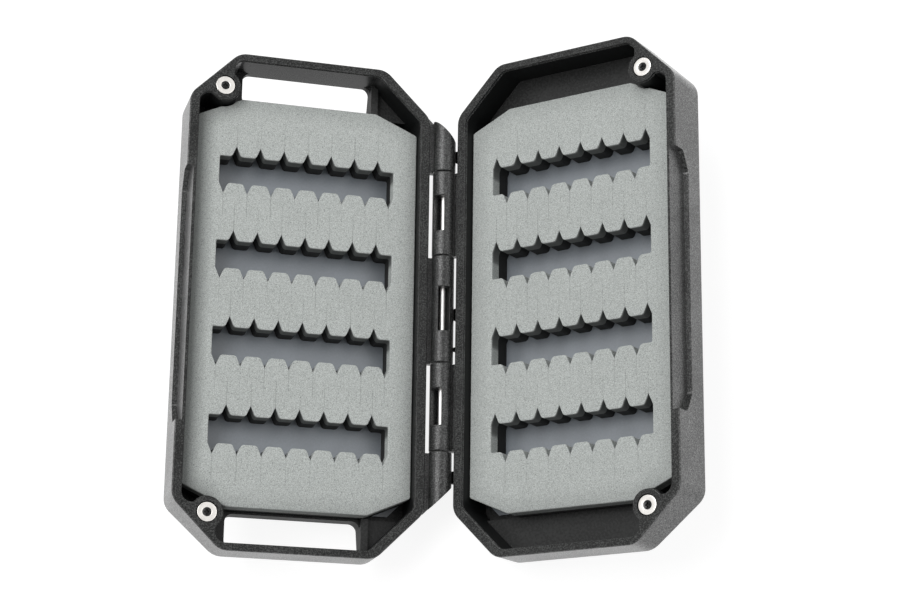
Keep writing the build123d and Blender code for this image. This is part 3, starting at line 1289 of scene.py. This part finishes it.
    def edge_distance(self, x: Array, y: Array) -> tuple[Array, Array]:
        """Distance from each point to the windows and to the insert's outline.

        The windows' edge is taken at its columns. Beside a chamfer, the distance along Y to
        the end line is multiplied by the cosine of the chamfer's slant.

        Args:
            x: Places across the case.
            y: Places along it.

        Returns:
            The two distances.
        """
        columns = self.columns(True)
        low, high = self.row_ends
        window = np.full_like(x, np.inf)
        for middle in self.row_middles:
            near = np.abs(y - middle) < self.lobe + self.notch_depth + 1.0
            px, py = x[near][:, None], y[near][:, None]
            found = window[near]
            for many, way in ((True, 1.0), (False, -1.0)):
                line = middle + way * self.reach(columns, many)
                found = np.minimum(found, np.hypot(px - columns, py - line).min(axis=1))
            beside = np.clip(np.abs(py[:, 0] - middle) - self.lobe, 0.0, None)
            for wall in (low, high):
                found = np.minimum(found, np.hypot(px[:, 0] - wall, beside))
            window[near] = found
        chamfers = (self.near_chamfer, self.far_chamfer)
        slants = [math.cos(math.atan2(drop, run)) for run, drop in chamfers]
        beside = [x < self.near + self.near_chamfer[0], x > self.far - self.far_chamfer[0]]
        ends = (self.end_line(x) - np.abs(y)) * np.select(beside, slants, 1.0)
        outline = np.minimum.reduce([x - self.near, self.far - x, ends])
        return window, outline

    @staticmethod
    def rounding(distance: Array, radius: float) -> Array:
        """Drop of an edge rounded by r, within r of it: r - sqrt(r^2 - (r - distance)^2)."""
        into = radius - np.clip(distance, 0.0, radius)
        return radius - np.sqrt(np.clip(radius**2 - into**2, 0.0, None))

    def skirt(self, sheet: Surface, floor: float) -> Surface:
        """Walls from the sheet's rims down to a floor, slightly waisted.

        At share s of the way down, a wall stands in by waist * 4 s (1 - s) from the rim.

        Args:
            sheet: The rounded top.
            floor: Height of the walls' foot.

        Returns:
            The walls.
        """
        rim = sheet.rim()
        way = sheet.points[rim[:, 1]] - sheet.points[rim[:, 0]]
        out = np.stack([way[:, 1], -way[:, 0]], axis=-1)
        out /= np.linalg.norm(out, axis=1, keepdims=True)
        total = np.zeros((len(sheet.points), 2))
        np.add.at(total, rim[:, 0], out)
        np.add.at(total, rim[:, 1], out)
        total /= np.maximum(np.linalg.norm(total, axis=1, keepdims=True), 1e-9)
        share = np.linspace(0.0, 1.0, self.wall_steps)
        inset = self.waist * 4 * share * (1 - share)
        sides = []
        for column in (rim[:, 1], rim[:, 0]):
            top = sheet.points[column]
            drop = top[:, None, 2] + (floor - top[:, None, 2]) * share
            flat = top[:, None, :2] - total[column][:, None, :] * inset[:, None]
            sides.append(np.concatenate([flat, drop[:, :, None]], axis=-1))
        left, right = sides
        quads = np.stack([left[:, :-1], right[:, :-1], right[:, 1:], left[:, 1:]], axis=2)
        points = quads.reshape(-1, 3)
        return Surface(points, np.arange(len(points)).reshape(-1, 4))

    def layer(self, top: float, floor: float, fine: bool) -> Surface:
        """One foam layer as a closed solid.

        Args:
            top: Height of its upper face.
            floor: Height of its lower face.
            fine: True for the layer that shows its upper face.

        Returns:
            The surface in the half's own frame.
        """
        sheet = self.flat(fine)
        x, y = sheet.points[:, 0], sheet.points[:, 1]
        height = np.full_like(x, top)
        if fine:
            window, outline = self.edge_distance(x, y)
            drop = np.maximum(
                self.rounding(window, self.edge_round), self.rounding(outline, self.outer_round)
            )
            groove = self.slit_field(x, y, self.slit_half) * self.slit_depth
            height = height - drop - groove
        upper, lower = (
            Surface(np.stack([x, y, z], axis=-1), sheet.faces)
            for z in (height, np.full_like(x, floor))
        )
        return Surface.joined([upper, self.skirt(upper, floor), lower.turned_over()]).welded()

    def build(self) -> list[bpy.types.Object]:
        """Both layers.

        Returns:
            The objects, grey first.
        """
        made = []
        for kind, finish, top, floor, fine in (
            ("foam_grey", Finish.GREY_FOAM, self.top, self.seam, True),
            ("foam_black", Finish.BLACK_FOAM, self.seam, self.bottom, False),
        ):
            surface = self.layer(top, floor, fine)
            x, y, z = surface.points.T
            # Painted shade in the slits, on the upper face.
            slit = self.slit_field(x, y, self.slit_half * self.slit_shade) * (z > top - 1.0)
            shades = {
                "slit": slit * fine,
                # Painted shade on the cut walls that face away from the main lamp.
                "cut": self.cut_wall_shade(y, z) * fine,
                # Painted shade near the outline, where the case's walls shade the foam.
                "rim": self.wall_shade_field(x, y),
            }
            name = self.half.value + "_" + kind
            mesh = HINGE.placed(self.half, surface).mesh(name + "_cut", shades, smooth=50.0)
            foam = piece(name + "_cut", self.half, mesh, finish, name)
            made.append(foam)
        return made


@dataclass
class InsertBacking:
    """Plastic sheet behind the foam's windows, and the film that holds it down."""

    half: Half

    def build(self) -> None:
        """Dress the two CAD nodes."""
        dress(self.half.value + "_backing_sheet", Finish.SHEET)
        dress(self.half.value + "_adhesive_film", Finish.ADHESIVE)


@dataclass
class RingMagnet:
    """Plated ring magnet with rounded edges and a countersunk bore, and the screw that holds it.

    Sink_edge is how far the countersink's last point stands in from its edge and below the
    face. Recess_ease is how wide the recess's flanks and its arms' ends are.
    """

    half: Half
    letter: str
    place: tuple[float, float] = (72.36, 68.75)
    face: float = -0.25
    radius: float = 3.03
    thickness: float = 2.5
    bore: float = 0.95
    foot: float = 0.1
    sink: float = 1.45
    sink_edge: tuple[float, float] = (0.02, 0.05)
    sink_round: float = 0.08
    edge_round: float = 0.16
    head: float = 1.4
    head_inset: float = 0.04
    head_side: float = 0.09
    dish: float = 0.22
    shank: float = 0.8
    point: float = 0.6
    screw_length: float = 7.5
    recess_arm: float = 0.82
    recess_half: float = 0.24
    recess_depth: float = 0.42
    recess_ease: tuple[float, float] = (0.09, 0.30)
    rings: int = 22
    sides: int = 64

    @property
    def y(self) -> float:
        """Place along the case; letter a is the +Y one."""
        return self.place[1] if self.letter == "a" else -self.place[1]

    def moved(self, surface: Surface) -> Surface:
        """Surface moved from the origin to the magnet's place."""
        return Surface(surface.points + np.array([self.place[0], self.y, 0.0]), surface.faces)

    def ring(self) -> Surface:
        """The ring: a closed profile of radius against height, turned about Z.

        Returns:
            The surface.
        """
        top, low, e = self.face, self.face - self.thickness, self.edge_round
        lip, foot = self.sink_round, self.foot
        profile = np.concatenate(
            [
                [(self.bore, low + foot), (self.bore, top - (self.sink - self.bore))],
                [(self.sink - self.sink_edge[0], top - self.sink_edge[1])],
                arc((self.sink + lip, top - lip), lip, 150.0, 90.0, 4),
                arc((self.radius - e, top - e), e, 90.0, 0.0, 7),
                arc((self.radius - e, low + e), e, 0.0, -90.0, 7),
                [(self.bore + foot, low), (self.bore, low + foot)],
            ]
        )
        return self.moved(revolved(profile, self.sides))

    def recess(self, u: Array, v: Array) -> Array:
        """Share of the recess's depth in one arm of its cross: it falls to 0 at |u| = half
        width and |v| = arm length, over the eases inside them.

        Args:
            u: Distances across the arm from its middle line.
            v: Distances along it from the screw's axis.

        Returns:
            The share, from 0 to 1.
        """
        across = (self.recess_half - np.abs(u)) / self.recess_ease[0]
        along = (self.recess_arm - np.abs(v)) / self.recess_ease[1]
        return np.clip(across, 0.0, 1.0) * np.clip(along, 0.0, 1.0)

    def screw(self) -> Surface:
        """The screw: a dished head with a cross recess, on a plain shank.

        On the head, height = face - inset - dish (1 - (r / R)^2) - depth * c, with c the
        greater share of the recess's two arms.

        Returns:
            The surface.
        """
        angles = np.linspace(0.0, 2 * np.pi, self.sides + 1)
        radii = np.linspace(0.0, self.head - self.head_inset, self.rings)[:, None]
        x, y = radii * np.cos(angles), radii * np.sin(angles)
        cut = np.maximum(self.recess(x, y), self.recess(y, x))
        dish = self.dish * (1 - (radii / self.head) ** 2)
        z = self.face - self.head_inset - dish - self.recess_depth * cut
        top = Surface.grid(np.stack([x, y, np.broadcast_to(z, x.shape)], axis=-1))
        low = self.face - self.screw_length
        cone = self.head - self.shank
        profile = np.array(
            [
                (self.head - self.head_inset, self.face - self.head_inset),
                (self.head, self.face - self.head_side),
                (self.shank, self.face - self.head_side - cone),
                (self.shank, low + self.point),
                (0.0, low),
            ]
        )
        return self.moved(Surface.joined([top, revolved(profile, self.sides)]).welded())

    def build(self) -> list[bpy.types.Object]:
        """Magnet and screw.

        Returns:
            The objects.
        """
        stem, letter = self.half.value + "_magnet", self.letter
        shape = self.ring()
        from_axis = np.hypot(shape.points[:, 0] - self.place[0], shape.points[:, 1] - self.y)
        ring = HINGE.placed(self.half, shape).mesh(f"{stem}_{letter}_ring", {"turned": from_axis})
        bolt = f"{stem}_screw_{letter}"
        screw = HINGE.placed(self.half, self.screw()).mesh(bolt + "_turned")
        return [
            piece(ring.name, self.half, ring, Finish.NICKEL, f"{stem}_{letter}"),
            piece(screw.name, self.half, screw, Finish.SCREW, bolt),
        ]


# Studio


@dataclass(frozen=True)
class SoftBox:
    """Long soft lamp that looks at the object."""

    place: Triple
    width: float
    length: float
    power: float


@dataclass
class Studio:
    """Pale floor, white surroundings, soft lamps and the camera."""

    bounce: float = 0.80
    floor_size: float = 3.0
    floor_colour: float = 0.26
    floor_lift: float = 0.88
    fill: float = 0.28
    lamps: Sequence[SoftBox] = (
        SoftBox((-0.45, 0.42, 1.36), 0.80, 1.4, 16.2),
        SoftBox((1.15, 0.15, 0.68), 0.70, 1.4, 4.4),
    )
    camera_place: Triple = (0.106527, -0.194335, 0.689674)
    camera_turn: Triple = (16.27297, 8.53189, 0.75205)
    lens: float = 89.62136
    film: float = 36.0
    clip: tuple[float, float] = (0.01, 20.0)

    def surroundings(self) -> None:
        """World at a plain level, white where it is seen or mirrored."""
        g = Graph("studio", world=True)
        bpy.context.scene.world = g.material
        level = g.seen() * (1.0 - self.fill) + self.fill
        g.close(g.node("ShaderNodeBackground", None, {"Color": WHITE, "Strength": level}))

    def floor(self) -> bpy.types.Object:
        """Pale floor that keeps the object's shadow.

        Returns:
            The floor.
        """
        size = self.floor_size
        corners = [(-size, -size, 0.0), (size, -size, 0.0), (size, size, 0.0), (-size, size, 0.0)]
        mesh = Surface(np.array(corners), np.array([[0, 1, 2, 3]])).mesh("studio_floor")
        g = Graph("studio_floor")
        unseen, plain = (
            g.node("ShaderNodeBsdfDiffuse", None, {"Color": (level,) * 3})
            for level in (self.bounce, self.floor_colour)
        )
        lift = g.node("ShaderNodeEmission", None, {"Color": WHITE, "Strength": self.floor_lift})
        shown = g.node("ShaderNodeAddShader", None, {0: plain, 1: lift})
        mixed = g.node("ShaderNodeMixShader", None, {0: g.seen(), 1: unseen, 2: shown})
        mesh.materials.append(g.close(mixed))
        made = linked("studio_floor", mesh)
        return made

    def light(self) -> None:
        """Lamps turned to the object's middle, their length along the hinge."""
        for number, box in enumerate(self.lamps):
            data = bpy.data.lights.new(f"soft_box_{number}", "AREA")
            data.shape, data.energy = "RECTANGLE", box.power
            data.size, data.size_y = box.width, box.length
            lamp = linked(data.name, data)
            lamp.location = x, y, z = box.place
            lamp.rotation_euler = (-math.atan2(y, math.hypot(x, z)), math.atan2(x, z), 0.0)

    def camera(self) -> None:
        """Camera above the open box."""
        data = bpy.data.cameras.new("camera")
        data.lens, data.sensor_width = self.lens, self.film
        data.clip_start, data.clip_end = self.clip
        made = linked("camera", data)
        made.location = self.camera_place
        made.rotation_euler = tuple(math.radians(a) for a in self.camera_turn)
        bpy.context.scene.camera = made

    def build(self) -> None:
        """Everything round the object."""
        bpy.context.scene.view_settings.view_transform = "Standard"
        self.surroundings()
        self.floor()
        self.light()
        self.camera()


def main() -> None:
    """Build the box piece by piece."""
    logging.basicConfig(level=logging.INFO, format="%(name)s: %(message)s")
    Studio().build()
    for half in Half:
        CaseShell(half).build()
        InsertBacking(half).build()
        FoamInsert(half).build()
        for letter in "ab":
            RingMagnet(half, letter).build()
    HingePin().build()


if __name__ == "__main__":
    main()
